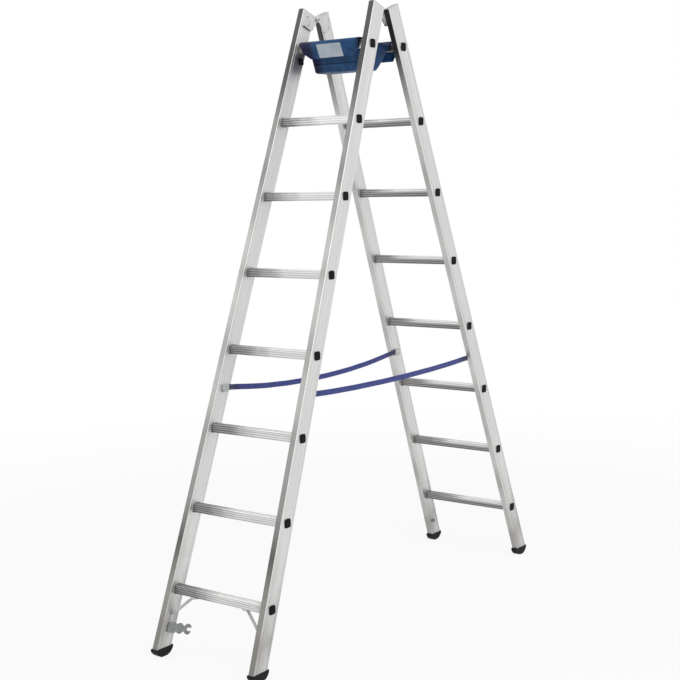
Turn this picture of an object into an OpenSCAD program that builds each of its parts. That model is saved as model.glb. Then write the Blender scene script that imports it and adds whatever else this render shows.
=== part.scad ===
// Double-sided trestle ladder: two rung sections hinged at the top, with a tool tray between the top
// rungs, two spreader straps and a catch that holds the sections together for carrying.
// Millimetres. Z is up, the rungs run along X, the front feet stand at -Y and the floor is at Z = 0.
// Each section is drawn in its own frame, with the hinge axis at the origin and the stiles hanging down.

/* [Ladder] */
// Length of each stile
stile_len = 2318; // [2300:1:2480]
// Outer width over the stiles at the hinge axis
top_width = 336; // [326:1:400]
// Outer width over the stiles at their lower ends
foot_width = 449; // [420:1:560]
// Angle between the two sections when the ladder stands
open_angle = 41; // [36:0.5:42]
// Space between the two sections when the ladder is folded
fold_gap = 30; // [28:0.5:32]
// Stile above the hinge axis
top_reach = 2; // [1:0.5:4]

/* [Stiles] */
// Depth of the stile tube, across the section
stile_depth = 67; // [62:0.5:76]
// Thickness of the stile tube, along the rungs
stile_thick = 24; // [22:0.5:28]
// Wall of the stile tube
stile_wall = 1.8; // [1.4:0.1:2.4]
// Outer corner radius of the stile tube
stile_round = 4; // [3:0.5:6]
// Width of the flutes along the broad faces
flute_w = 4; // [2:0.5:6]
// Depth of the flutes along the broad faces
flute_depth = 0.6; // [0.3:0.1:0.8]

/* [Rungs] */
// Rungs in each section
rung_count = 8; // [6:1:8]
// Distance between rungs, along the stile
rung_pitch = 280; // [260:1:282]
// Hinge axis to the top rung, along the stile
first_rung_drop = 144; // [140:1:150]
// Outer size of the square rung tube
rung_size = 30; // [28:0.5:32]
// Wall of the rung tube
rung_wall = 1.8; // [1.4:0.1:2.2]
// Outer corner radius of the rung tube
rung_round = 4; // [3:0.5:6]
// Grooves in the tread and in the underside of a rung
tread_groove_count = 5; // [3:1:6]
// Width of a tread groove
tread_groove_w = 1.6; // [1:0.1:2]
// Depth of a tread groove
tread_groove_depth = 0.7; // [0.3:0.1:0.9]
// How far a rung end stands out of the stile
rung_proud = 0.8; // [0.6:0.1:2]
// Width of the bead that seats a rung on the stile's inner face
bead_w = 3; // [2:0.5:5]
// Height of that bead over the rung
bead_h = 1.6; // [1:0.1:3]

/* [Rung caps] */
// Corner radius of the cap over a rung end
cap_round = 8; // [5:0.5:11]
// Thickness of the cap over a rung end
cap_thick = 1.6; // [1:0.1:3]
// Height of the raised panel on the cap
cap_panel = 0.8; // [0.4:0.1:1.5]
// Length of the plug in the rung
cap_plug_len = 14; // [8:0.5:20]
// Wall of the plug
cap_plug_wall = 1.6; // [1:0.1:3]

/* [Feet] */
// Radius of the rolling sole
sole_r = 45; // [42:0.5:60]
// Reach of the sole below the stile's end
sole_drop = 20; // [16:0.5:24]
// Height of the foot's level rim over the sole
foot_h = 32; // [29:0.5:36]
// Length of the foot's rim along the floor
foot_len = 80; // [76:0.5:84]
// How far the foot stands out of the stile's broad faces
shoe_over = 1.2; // [0.6:0.1:2]
// Depth of the worn flat that the foot stands on
sole_flat = 1.5; // [1:0.1:2]
// Length of the foot's plug in the stile
foot_plug_len = 45; // [30:1:70]
// Grooves across the sole
sole_groove_count = 5; // [3:1:7]
// Width of a sole groove
sole_groove_w = 3; // [2:0.5:4]
// Depth of a sole groove
sole_groove_depth = 2.2; // [1.6:0.1:3]

/* [Stile tops] */
// Thickness of the cover on a stile's top
top_cover = 2; // [1.5:0.1:2]
// Length of the cover's plug in the stile
top_plug_len = 14; // [8:1:14]

/* [Hinges] */
// Radius of the hinge ears
ear_r = 13; // [12:0.5:14]
// Thickness of a hinge ear
ear_thick = 4; // [3:0.5:4.5]
// Play between the two ears
ear_play = 0.4; // [0.3:0.05:0.6]
// Gap from the front ear to the stiles' inner faces
ear_gap = 1.5; // [1.2:0.1:2]
// Radius of the hinge pin
pin_r = 5; // [4:0.5:6]
// Radius of the hinge pin's head
pin_head_r = 8; // [7:0.5:10]
// Height of the hinge pin's head
pin_head_h = 2.4; // [1.5:0.1:2.6]
// Length of the hinge plate along the stile
plate_len = 58; // [50:1:70]
// Depth of the hinge plate across the stile
plate_depth = 50; // [44:0.5:54]
// Hinge plate above the hinge axis
plate_rise = 0; // [-2:0.5:1]

/* [Rivets] */
// Radius of a rivet
rivet_r = 2.4; // [2:0.1:3]
// Radius of a rivet's head
rivet_head_r = 5; // [4:0.1:6]
// Height of a rivet's head
rivet_head_h = 2; // [1.2:0.1:3]
// Length of a rivet behind the stile's wall
rivet_tail = 4; // [2:0.5:8]

/* [Tool tray] */
// Length of the tray along the rungs
tray_len = 258; // [220:1:258]
// Wall of the tray
tray_wall = 2.8; // [2:0.1:3.5]
// Depth of the tray's floor below the rung's axis
tray_depth = 86; // [78:1:90]
// Lean of the front wall
front_lean = 9; // [6:0.5:12]
// Lean of the rear wall at the rim
rear_lean = 24; // [24:0.5:28]
// Radius of the rear wall, which curves under towards the floor
rear_wall_r = 340; // [300:1:340]
// Lean of the end walls
end_lean = 6; // [4:0.5:10]
// Corner radius of the tray in plan
tray_round = 16; // [10:0.5:18]
// Inset of the hooks' ends to the tray's end walls
tray_end_inset = 3; // [3:0.5:8]
// Thickness of the rim along the end walls
rim_thick = 3; // [2:0.5:5]
// Inset of the step low on the tray's walls
step_in = 1.6; // [1:0.1:3]
// Length of the guide beside the tray, on the front stile
guide_len = 28; // [20:1:34]
// Width of that guide
guide_w = 13; // [11:0.5:16]
// How far the guide stands out of the stile
guide_out = 12; // [8:0.5:14]
// Top rung's axis to the guide, along the stile
guide_drop = 42; // [36:1:50]

/* [Straps] */
// Hinge axis to the strap clips, along the stile
strap_drop = 1404; // [1376:1:1426]
// Width of the strap webbing
strap_w = 20; // [16:0.5:24]
// Thickness of the strap webbing
strap_thick = 1.8; // [1.2:0.1:2.5]
// Base of the strap clip, between the stile and the strap
clip_base = 2; // [1.6:0.1:2.4]
// Cover of the strap clip, over the strap
clip_cover = 2; // [1.4:0.1:3]
// Height of the strap clip
clip_h = 26; // [25:0.5:32]
// Length of the strap clip behind its rivet
clip_tail = 7; // [6:0.5:10]
// Rivet to the end of the strap's slot
clip_slot_start = 6; // [5:0.5:8]
// Rivet to the mouth of the strap's slot
clip_mouth = 24; // [18:0.5:30]

/* [Transport catch] */
// Space from the brace down to the catch
catch_space = 6; // [4:0.5:10]
// Thickness of the catch plate
catch_thick = 3; // [2:0.5:4]
// Gap from the catch plate to the rear stile
catch_gap = 1.4; // [1.2:0.1:2]
// Height of the catch's base
catch_base_h = 34; // [28:0.5:40]
// Depth of the catch's base across the stile
catch_base_d = 44; // [38:0.5:52]
// Radius of the catch's two lobes, of which the outer one is the jaw
lobe_r = 18.5; // [15:0.5:19]
// Height of the waist between the lobes
catch_waist = 20; // [14:0.5:26]
// Radius of the keeper stud's neck
stud_r = 5; // [4:0.5:6]
// Radius of the keeper stud's head
stud_head_r = 8; // [7:0.5:10]
// Height of the keeper stud's head
stud_head_h = 3; // [2:0.5:5]
// Radius of the keeper stud's shank in the stile
stud_shank_r = 3; // [2.5:0.5:3.5]
// Rear stile's facing edge to the keeper stud
stud_inset = 28; // [25:0.5:32]

/* [Rung braces] */
// Run of the brace along the lowest rung
brace_run = 74; // [60:1:100]
// Drop of the brace down the stile
brace_fall = 70; // [60:1:80]
// Width of the brace strip
brace_w = 16; // [12:0.5:20]
// Thickness of the brace strip
brace_thick = 3; // [2:0.5:4]
// Length of the brace's end tabs
brace_tab = 20; // [16:1:26]

/* [Hidden] */
$fn = 48;
half_angle = open_angle / 2;

// Clearances and cutting allowances
overrun = 5;
rung_fit = 0.1;
plug_fit = 0.25;
pin_fit = 0.05;
rivet_fit = 0.05;
strap_fit = 0.6;
stud_fit = 0.6;
ear_clear = 1;
hook_fit = 0.5;

// Stile frame
stile_down = stile_len - top_reach;
flare = atan((foot_width - top_width) / 2 / stile_down);
stile_line_x = top_width / 2 - stile_thick / 2 / cos(flare);
mid_y = -(fold_gap + stile_depth) / 2;
facing_y = -fold_gap / 2;
stile_bore_x = stile_thick - 2 * stile_wall;
stile_bore_y = stile_depth - 2 * stile_wall;
stile_bore_round = stile_round - stile_wall;
flute_shares = [-0.34, 0.34];

// Height of the hinge axis over the floor, set by the rolling soles
sole_z = -(stile_down + sole_drop - sole_r);
hinge_z = mid_y * sin(half_angle) - sole_z * cos(flare) * cos(half_angle) + sole_r - sole_flat;

// Foot: its bowl is level and centred under the stile's level lower end
foot_rim_z = foot_h - sole_r;
foot_shift = foot_rim_z * tan(half_angle);

// Turn of each sole groove about the sole's axis
groove_fan = 56;
function groove_turn(n) = groove_fan * ((n - 0.5) / sole_groove_count - 0.5);

// X of a stile's face or middle at a height z of its section; across = 0 is the middle
function stile_x(z, across) = stile_line_x - z * tan(flare) + across / cos(flare);
function inner_x(z) = stile_x(z, -stile_thick / 2);
function outer_x(z) = stile_x(z, stile_thick / 2);

// Rungs, turned in their section so that the treads are level when the ladder stands
rung_turn = half_angle;
rung_bore = rung_size - 2 * rung_wall;
rung_bore_round = rung_round - rung_wall;
tread_flat = rung_size - 2 * rung_round;
cap_panel_share = 0.72;
function rung_z(i) = -(first_rung_drop + (i - 1) * rung_pitch);
function rung_half(i) = outer_x(rung_z(i)) + rung_proud;

// Hinge layers, from the stile's inner face towards the middle of the ladder
front_ear_out = inner_x(0) - ear_gap;
front_ear_in = front_ear_out - ear_thick;
rear_ear_out = front_ear_in - ear_play;
rear_ear_in = rear_ear_out - ear_thick;
plate_round = ear_r / 2;
gusset_share = 0.9;

// Tool tray: the hooks turn round the corners of the top rungs
rung_corner_r = sqrt(2) * (rung_size / 2 - rung_round) + rung_round;
hook_r = rung_corner_r + hook_fit;
front_hook_ends = [4, 252];
rear_hook_ends = [14, 184];
hook_steps = 12;
top_rung_y = mid_y * cos(half_angle) + rung_z(1) * sin(half_angle);
top_rung_z = hinge_z - mid_y * sin(half_angle) + rung_z(1) * cos(half_angle);
rim_z = hook_r * sin(rear_lean);
rim_half_y = -top_rung_y - hook_r * cos(rear_lean);
rim_half_x = tray_len / 2 - tray_end_inset;
level_h = 0.4;
tray_fn = 32;
tub_h = rim_z + tray_depth - level_h;
tub_steps = 4;
tub_step_share = 0.8;
tub_corner_share = 0.45;

// Walls of the tub at a share of its height, from 0 at the rim to 1 at the floor
function tub_z(share) = rim_z - level_h - share * tub_h;
function tub_turn(share) = asin(sin(rear_lean) + share * tub_h / rear_wall_r);
function tub_front(share) = top_rung_y + hook_r / cos(front_lean) - tub_z(share) * tan(front_lean);
function tub_rear(share) = rim_half_y - rear_wall_r * (cos(rear_lean) - cos(tub_turn(share)));
function tub_half_x(share) = rim_half_x - share * tub_h * tan(end_lean);

// Nib on the front stile beside the tray
guide_tilt = -40;
guide_y_share = 0.12;

// Strap clips: the rivet is the clip's reference point, on the stile's middle line
clip_z = -strap_drop;
strap_seat_x = inner_x(clip_z) - clip_base - strap_fit - strap_thick / 2;
clip_in = strap_seat_x - strap_thick / 2 - strap_fit - clip_cover;
clip_rivet_y = mid_y - clip_slot_start / 2 * cos(half_angle);
clip_rivet_z = clip_z - clip_slot_start / 2 * sin(half_angle);

// Strap routes: points along the webbing's middle line, chosen by hand
left_strap_route = [
    [-175, -532, 874], [-175, -514, 874], [-175, -480, 871], [-175, -430, 865], [-175, -370, 858],
    [-175, -310, 852], [-175, -250, 848], [-175, -190, 844], [-175, -130, 842], [-175, -60, 840],
    [-175, 0, 840], [-175, 60, 840], [-175, 130, 842], [-175, 190, 844], [-175, 250, 848],
    [-175, 310, 852], [-175, 370, 858], [-175, 430, 865], [-175, 480, 871], [-175, 514, 874],
    [-175, 532, 874]];
right_strap_route = [
    [175, -532, 874], [175, -514, 874], [175, -480, 873], [175, -430, 870], [175, -370, 867],
    [175, -310, 865], [175, -250, 863], [175, -190, 862], [175, -130, 861], [175, -60, 860],
    [175, 0, 860], [175, 60, 860], [175, 130, 861], [175, 190, 862], [175, 250, 863],
    [175, 310, 865], [175, 370, 867], [175, 430, 870], [175, 480, 873], [175, 514, 874],
    [175, 532, 874]];
strap_edge_share = 0.3;

// Rung braces
brace_pad_h = brace_w * tan(rung_turn);
brace_rung_z = rung_z(rung_count) - rung_size / 2 / cos(rung_turn) - brace_pad_h / 2;
brace_stile_z = brace_rung_z - brace_fall;
brace_len = sqrt(pow(brace_run, 2) + pow(brace_fall, 2));
brace_face_x = inner_x(brace_stile_z - brace_tab / 2);
brace_hole_x = brace_face_x - brace_run - brace_tab / 2;

// Transport catch and its keeper stud
catch_z = brace_stile_z - brace_tab - catch_space - catch_base_h / 2;
catch_out = inner_x(catch_z) - catch_gap;
catch_in = catch_out - catch_thick;
slot_half = stud_r + stud_fit;
seat_y = fold_gap / 2 + stud_inset;
lobe_pitch_share = 1.1;
lobe_y = seat_y - 2 * lobe_r * lobe_pitch_share;
catch_round_share = 0.2;
stud_neck = catch_gap + catch_thick + stud_fit;

// Rivets, as [y, z] on the stile's inner face in the section's frame
rivet_crown_share = 0.55;
plate_rivet_shares = [0.3, 0.78];
hinge_rivets = [for (share = plate_rivet_shares)
    [facing_y - plate_depth * (1 - share / 2), plate_rise - plate_len * share]];
clip_rivets = [[clip_rivet_y, clip_rivet_z]];
guide_rivets = [[mid_y + stile_depth * guide_y_share, rung_z(1) - guide_drop]];
brace_rivets_at = [[mid_y, brace_stile_z - brace_tab / 2]];
catch_rivet_shares = [0.3, 0.78];
catch_rivets_at = [for (share = catch_rivet_shares)
    [facing_y - catch_base_d * share, catch_z + catch_base_h * (0.5 - share) / 2]];
front_rivets = concat(hinge_rivets, clip_rivets, guide_rivets, brace_rivets_at);
front_left_rivets = concat(front_rivets, catch_rivets_at);
rear_rivets = concat(hinge_rivets, clip_rivets);

aluminium = "#c4c7ca";
cast_aluminium = "#a9adb1";
steel = "#8b9196";
black_plastic = "#1b1c1f";
grey_plastic = "#b9bbbd";
tray_blue = "#27479a";
strap_blue = "#2d4fa8";

// Frames: a section leans from the hinge axis, the rear one mirrors the front, the left side the right
module front() translate([0, 0, hinge_z]) rotate([-half_angle, 0, 0]) children();
module rear() mirror([0, 1, 0]) front() children();
module left() mirror([1, 0, 0]) children();
module along_stile() translate([stile_line_x, mid_y, 0]) rotate([0, -flare, 0]) children();

// A shape drawn in Y and Z, extruded along X between two places
module across(x_from, x_to)
    translate([x_from, 0, 0]) rotate([90, 0, 90]) linear_extrude(x_to - x_from) children();

// Rectangle with round corners, centred
module rounded_rect(w, d, r) {
    square([w - 2 * r, d], center = true);
    square([w, d - 2 * r], center = true);
    for (x = [-1, 1], y = [-1, 1])
        translate([x * (w / 2 - r), y * (d / 2 - r)]) circle(r);
}

// Stile tube: a fluted box extrusion with holes for the rungs and the rivets
module stile_outline() difference() {
    rounded_rect(stile_thick, stile_depth, stile_round);
    for (side = [-1, 1], share = flute_shares)
        translate([side * stile_thick / 2, share * stile_depth])
            square([2 * flute_depth, flute_w], center = true);
}

module stile_bore() rounded_rect(stile_bore_x, stile_bore_y, stile_bore_round);

// Cuts a fitting flush with the stile's inner face
module stile_cut()
    along_stile() translate([-stile_thick / 2, -stile_depth, -stile_down])
        cube([2 * stile_depth, 2 * stile_depth, stile_len]);

module rung_hole(i)
    translate([0, mid_y, rung_z(i)]) across(inner_x(rung_z(i)) - overrun, outer_x(rung_z(i)) + overrun)
        rotate(rung_turn)
            rounded_rect(rung_size + 2 * rung_fit, rung_size + 2 * rung_fit, rung_round + rung_fit);

module rivet_hole(place)
    translate([0, place[0], place[1]])
        across(rear_ear_in - overrun, inner_x(place[1]) + stile_wall + overrun) circle(rivet_r + rivet_fit);

// Frame of a foot, level when the ladder stands, with the sole's axis in the stile's middle line
module at_foot() along_stile() translate([0, 0, sole_z]) rotate([half_angle, 0, 0]) children();

// Cuts the stile's lower end level, on the foot's rim
module level_end()
    at_foot() translate([-stile_depth, -stile_depth, foot_rim_z - stile_depth])
        cube([2 * stile_depth, 2 * stile_depth, stile_depth]);

module stile(rivets) difference() {
    along_stile() translate([0, 0, -stile_down - overrun]) linear_extrude(stile_len + overrun) difference() {
        stile_outline();
        stile_bore();
    }
    level_end();
    for (i = [1:rung_count]) rung_hole(i);
    for (place = rivets) rivet_hole(place);
}

module stud_hole()
    translate([0, -seat_y, catch_z])
        across(inner_x(catch_z) - overrun, inner_x(catch_z) + stile_wall + overrun)
            circle(stud_shank_r + rivet_fit);

module front_left_stile() color(aluminium) front() left() stile(front_left_rivets);
module front_right_stile() color(aluminium) front() stile(front_rivets);
module rear_left_stile() color(aluminium) rear() left() difference() {
    stile(rear_rivets);
    stud_hole();
}
module rear_right_stile() color(aluminium) rear() stile(rear_rivets);

// Rung: a square tube through both stiles, grooved above and below, seated by a bead at each end
module rung_outline() difference() {
    rounded_rect(rung_size, rung_size, rung_round);
    for (side = [-1, 1], n = [1:tread_groove_count])
        translate([tread_flat * ((n - 0.5) / tread_groove_count - 0.5), side * rung_size / 2])
            square([tread_groove_w, 2 * tread_groove_depth], center = true);
}

module rung_bead(i) {
    bead_size = rung_size + 2 * bead_h;
    translate([inner_x(rung_z(i)), mid_y, rung_z(i)]) rotate([0, -flare, 0])
        across(-rung_fit - bead_w, -rung_fit) rotate(rung_turn)
            rounded_rect(bead_size, bead_size, rung_round + bead_h);
}

module rung(i) difference() {
    union() {
        translate([0, mid_y, rung_z(i)]) across(-rung_half(i), rung_half(i)) rotate(rung_turn) rung_outline();
        rung_bead(i);
        left() rung_bead(i);
    }
    translate([0, mid_y, rung_z(i)]) across(-rung_half(i) - overrun, rung_half(i) + overrun)
        rotate(rung_turn) rounded_rect(rung_bore, rung_bore, rung_bore_round);
}

module front_rung(i) color(aluminium) front() difference() {
    rung(i);
    if (i == rung_count) {
        brace_rung_hole();
        left() brace_rung_hole();
    }
}
module rear_rung(i) color(aluminium) rear() rung(i);

// Rung cap: a panelled cover on the rung's end with a hollow plug inside the rung
module rung_cap(i) {
    plug_size = rung_bore - 2 * plug_fit;
    plug_round = rung_bore_round;
    translate([0, mid_y, rung_z(i)]) rotate([rung_turn, 0, 0]) {
        across(rung_half(i), rung_half(i) + cap_thick) rounded_rect(rung_size, rung_size, cap_round);
        across(rung_half(i), rung_half(i) + cap_thick + cap_panel)
            rounded_rect(rung_size * cap_panel_share, rung_size * cap_panel_share,
                cap_round * cap_panel_share);
        across(rung_half(i) - cap_plug_len, rung_half(i)) difference() {
            rounded_rect(plug_size, plug_size, plug_round);
            square(plug_size - 2 * cap_plug_wall, center = true);
        }
    }
}

module rung_caps() for (i = [1:rung_count]) rung_cap(i);

module front_left_rung_caps() color(black_plastic) front() left() rung_caps();
module front_right_rung_caps() color(black_plastic) front() rung_caps();
module rear_left_rung_caps() color(black_plastic) rear() left() rung_caps();
module rear_right_rung_caps() color(black_plastic) rear() rung_caps();

// Foot: a plug in the stile and a level bowl whose rolling sole has grooves, worn flat where it stands
module floor_cut()
    translate([-foot_width, -stile_len, -sole_r]) cube([2 * foot_width, 2 * stile_len, sole_r]);

module foot_outline() intersection() {
    circle(sole_r);
    translate([-foot_len / 2, -sole_r]) square([foot_len, foot_h]);
}

module foot() {
    foot_half_x = stile_thick / 2 + shoe_over;
    along_stile() translate([0, 0, -stile_down]) linear_extrude(foot_plug_len)
        rounded_rect(stile_bore_x - 2 * plug_fit, stile_bore_y - 2 * plug_fit, stile_bore_round);
    at_foot() translate([0, foot_shift, 0]) difference() {
        across(-foot_half_x, foot_half_x) foot_outline();
        for (n = [1:sole_groove_count])
            rotate([groove_turn(n), 0, 0]) translate([0, 0, -sole_r])
                cube([2 * stile_thick, sole_groove_w, 2 * sole_groove_depth], center = true);
    }
}
module front_left_foot() color(black_plastic) difference() { front() left() foot(); floor_cut(); }
module front_right_foot() color(black_plastic) difference() { front() foot(); floor_cut(); }
module rear_left_foot() color(black_plastic) difference() { rear() left() foot(); floor_cut(); }
module rear_right_foot() color(black_plastic) difference() { rear() foot(); floor_cut(); }

// Stile top cover: a plate with a plug in the tube
module top_cover_plug() along_stile() {
    translate([0, 0, top_reach]) linear_extrude(top_cover)
        rounded_rect(stile_thick, stile_depth, stile_round);
    translate([0, 0, top_reach - top_plug_len]) linear_extrude(top_plug_len)
        rounded_rect(stile_bore_x - 2 * plug_fit, stile_bore_y - 2 * plug_fit, stile_bore_round);
}

module top_covers() {
    top_cover_plug();
    left() top_cover_plug();
}

module front_top_covers() color(grey_plastic) front() top_covers();
module rear_top_covers() color(grey_plastic) rear() top_covers();

// Hinge plates: the front ear runs between the stile's face and the rear ear, which steps inwards
module plate_outline()
    translate([facing_y - plate_depth / 2, plate_rise - plate_len / 2])
        rounded_rect(plate_depth, plate_len, plate_round);

module ear_outline() {
    gusset_z = plate_rise - plate_len + plate_round;
    circle(ear_r);
    translate([facing_y - ear_r, -ear_r]) square([ear_r - facing_y, ear_r + plate_rise]);
    polygon([[0, -ear_r * gusset_share], [0, 0], [facing_y - ear_r, 0],
        [facing_y - ear_r, gusset_z], [facing_y, gusset_z]]);
}

module hinge_cuts() {
    stile_cut();
    across(rear_ear_in - overrun, front_ear_out + overrun) circle(pin_r + pin_fit);
    for (place = hinge_rivets) rivet_hole(place);
}

module front_hinge_plate() difference() {
    union() {
        across(front_ear_in, front_ear_out) ear_outline();
        across(front_ear_in, stile_line_x) plate_outline();
    }
    hinge_cuts();
}

module rear_hinge_plate() difference() {
    union() {
        across(rear_ear_in, rear_ear_out) ear_outline();
        across(rear_ear_in, stile_line_x) plate_outline();
    }
    across(rear_ear_out, stile_line_x) circle(ear_r + ear_clear);
    hinge_cuts();
}

module hinge_pin() {
    across(rear_ear_in, front_ear_out) circle(pin_r);
    translate([rear_ear_in, 0, 0]) rotate([0, -90, 0])
        cylinder(r1 = pin_head_r, r2 = pin_head_r * rivet_crown_share, h = pin_head_h);
}

module front_left_hinge_plate() color(cast_aluminium) front() left() front_hinge_plate();
module front_right_hinge_plate() color(cast_aluminium) front() front_hinge_plate();
module rear_left_hinge_plate() color(cast_aluminium) rear() left() rear_hinge_plate();
module rear_right_hinge_plate() color(cast_aluminium) rear() rear_hinge_plate();
module left_hinge_pin() color(steel) front() left() hinge_pin();
module right_hinge_pin() color(steel) front() hinge_pin();

// Rivet: its head on a fitting, its shank through the fitting and the stile's wall
module rivet(place, head_x) {
    tail_x = inner_x(place[1]) + stile_wall + rivet_tail;
    translate([head_x, place[0], place[1]]) rotate([0, -90, 0])
        cylinder(r1 = rivet_head_r, r2 = rivet_head_r * rivet_crown_share, h = rivet_head_h);
    translate([0, place[0], place[1]]) across(head_x, tail_x) circle(rivet_r);
}

module rivet_pair(places, head_x) for (place = places) {
    rivet(place, head_x);
    left() rivet(place, head_x);
}

module front_hinge_rivets() color(steel) front() rivet_pair(hinge_rivets, front_ear_in);
module rear_hinge_rivets() color(steel) rear() rivet_pair(hinge_rivets, rear_ear_in);

// Tool tray: hooks along both long sides, with a tub between them whose rear wall curves under, so that
// the rear top rung swings clear below it while the tray tips up about the front one
module hook_outline(ends) difference() {
    circle(hook_r + tray_wall);
    circle(hook_r);
    polygon(concat([[0, 0]], [for (n = [0:hook_steps])
        let (turn = ends[1] + (360 + ends[0] - ends[1]) * n / hook_steps)
            2 * hook_r * [cos(turn), sin(turn)]]));
}

module tray_hook(ends)
    translate([0, top_rung_y, 0]) across(-tray_len / 2, tray_len / 2) hook_outline(ends);

module tub_level(share, inset, lift) {
    front_y = tub_front(share) + inset / cos(front_lean);
    rear_y = tub_rear(share) - inset / cos(tub_turn(share));
    width = rear_y - front_y;
    translate([0, (front_y + rear_y) / 2, tub_z(share) + lift]) linear_extrude(level_h)
        rounded_rect(2 * (tub_half_x(share) - inset), width,
            min(tray_round - inset, width * tub_corner_share), $fn = tray_fn);
}

module tray_tub(inset, top, base) {
    hull() {
        tub_level(0, inset, top);
        for (n = [1:tub_steps - 1]) tub_level(tub_step_share * n / tub_steps, inset, 0);
        tub_level(tub_step_share, inset, base);
    }
    hull() {
        tub_level(tub_step_share, inset + step_in, base);
        tub_level(1, inset + step_in, base);
    }
}

module tray_rim() translate([0, 0, rim_z - rim_thick]) linear_extrude(rim_thick) difference() {
    square([tray_len, 2 * (rim_half_y - tray_wall)], center = true);
    square([2 * (rim_half_x - tray_wall), 2 * rim_half_y], center = true);
}

module tool_tray() color(tray_blue) translate([0, 0, top_rung_z]) {
    difference() {
        union() {
            tray_tub(0, 0, 0);
            tray_rim();
        }
        tray_tub(tray_wall, overrun, tray_wall);
    }
    tray_hook(front_hook_ends);
    mirror([0, 1, 0]) tray_hook(rear_hook_ends);
}

// Tray guide: a slanted black nib on the front stile that keeps the tray centred
module guide_outline() {
    square([guide_len - guide_w, guide_w], center = true);
    for (end = [-1, 1]) translate([end * (guide_len - guide_w) / 2, 0]) circle(guide_w / 2);
}

module tray_guide() {
    place = guide_rivets[0];
    difference() {
        translate([0, place[0], place[1]])
            across(inner_x(place[1]) - guide_out, stile_x(place[1], 0)) rotate(guide_tilt) guide_outline();
        stile_cut();
        rivet_hole(place);
    }
}

module left_tray_guide() color(black_plastic) front() left() tray_guide();
module right_tray_guide() color(black_plastic) front() tray_guide();
module tray_guide_rivets() color(steel) front()
    rivet_pair(guide_rivets, inner_x(guide_rivets[0][1]) - guide_out);

// Spreader strap: flat webbing, standing on edge, swept along its route
function strap_tangent(route, n) =
    let (a = route[max(n - 1, 0)], b = route[min(n + 1, len(route) - 1)]) (b - a) / norm(b - a);

function strap_ring(route, n) =
    let (t = strap_tangent(route, n), up = [0, -t[2], t[1]] * strap_w / 2, out = [strap_thick / 2, 0, 0],
        edge = 1 - strap_edge_share * strap_thick / strap_w)
    [route[n] + up * edge + out, route[n] + up + out * strap_edge_share,
     route[n] + up - out * strap_edge_share, route[n] + up * edge - out,
     route[n] - up * edge - out, route[n] - up - out * strap_edge_share,
     route[n] - up + out * strap_edge_share, route[n] - up * edge + out];

module strap(route) {
    sides = 8;
    last = len(route) - 1;
    points = [for (n = [0:last]) each strap_ring(route, n)];
    walls = [for (n = [0:last - 1], k = [0:sides - 1])
        let (a = n * sides + k, b = n * sides + (k + 1) % sides)
        each [[a, a + sides, b], [b, a + sides, b + sides]]];
    ends = [for (k = [1:sides - 2])
        each [[0, k, k + 1], [last * sides, last * sides + k + 1, last * sides + k]]];
    polyhedron(points, concat(walls, ends));
}

module left_strap() color(strap_blue) strap(left_strap_route);
module right_strap() color(strap_blue) strap(right_strap_route);

// Strap clip: a level pocket that holds the strap's end against the stile
module strap_clip() difference() {
    translate([0, clip_rivet_y, clip_rivet_z]) rotate([half_angle, 0, 0]) difference() {
        translate([clip_in, -clip_tail, -clip_h / 2])
            cube([stile_x(clip_z, 0) - clip_in, clip_tail + clip_mouth, clip_h]);
        translate([clip_in + clip_cover, clip_slot_start, -strap_w / 2 - strap_fit])
            cube([strap_thick + 2 * strap_fit, clip_mouth, strap_w + 2 * strap_fit]);
    }
    stile_cut();
    rivet_hole(clip_rivets[0]);
}

module front_left_strap_clip() color(steel) front() left() strap_clip();
module front_right_strap_clip() color(steel) front() strap_clip();
module rear_left_strap_clip() color(steel) rear() left() strap_clip();
module rear_right_strap_clip() color(steel) rear() strap_clip();
module front_strap_rivets() color(steel) front() rivet_pair(clip_rivets, clip_in);
module rear_strap_rivets() color(steel) rear() rivet_pair(clip_rivets, clip_in);

// Rung brace: a bent strip from the underside of the lowest rung to the stile, with a wedge pad under
// the level rung
module brace_outline() {
    run_share = brace_run / brace_len;
    fall_share = brace_fall / brace_len;
    bend_x = brace_face_x - brace_run;
    under_x = bend_x - brace_thick * fall_share + brace_thick * run_share * (1 - run_share) / fall_share;
    side_z = brace_rung_z - brace_thick * run_share
        - (brace_run - brace_thick + brace_thick * fall_share) * fall_share / run_share;
    polygon([[bend_x - brace_tab, brace_rung_z], [bend_x, brace_rung_z], [brace_face_x, brace_stile_z],
        [brace_face_x + overrun, brace_stile_z], [brace_face_x + overrun, brace_stile_z - brace_tab],
        [brace_face_x - brace_thick, brace_stile_z - brace_tab], [brace_face_x - brace_thick, side_z],
        [under_x, brace_rung_z - brace_thick], [bend_x - brace_tab, brace_rung_z - brace_thick]]);
}

module brace_rung_hole()
    translate([brace_hole_x, mid_y, brace_rung_z - overrun])
        cylinder(r = rivet_r + rivet_fit, h = 2 * overrun + brace_pad_h + rung_wall);

module brace_pad() difference() {
    translate([brace_face_x - brace_run - brace_tab, mid_y - brace_w / 2, brace_rung_z - brace_thick])
        cube([brace_tab, brace_w, brace_thick + brace_pad_h]);
    translate([0, mid_y, rung_z(rung_count)]) across(0, brace_face_x) rotate(rung_turn)
        rounded_rect(rung_size, rung_size, rung_round);
}

module rung_brace() difference() {
    union() {
        translate([0, mid_y + brace_w / 2, 0]) rotate([90, 0, 0]) linear_extrude(brace_w) brace_outline();
        brace_pad();
    }
    stile_cut();
    brace_rung_hole();
    rivet_hole(brace_rivets_at[0]);
}

module brace_rung_rivet() translate([brace_hole_x, mid_y, brace_rung_z - brace_thick]) {
    cylinder(r = rivet_r, h = brace_thick + brace_pad_h + rung_wall + rivet_tail);
    mirror([0, 0, 1])
        cylinder(r1 = rivet_head_r, r2 = rivet_head_r * rivet_crown_share, h = rivet_head_h);
}

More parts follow.
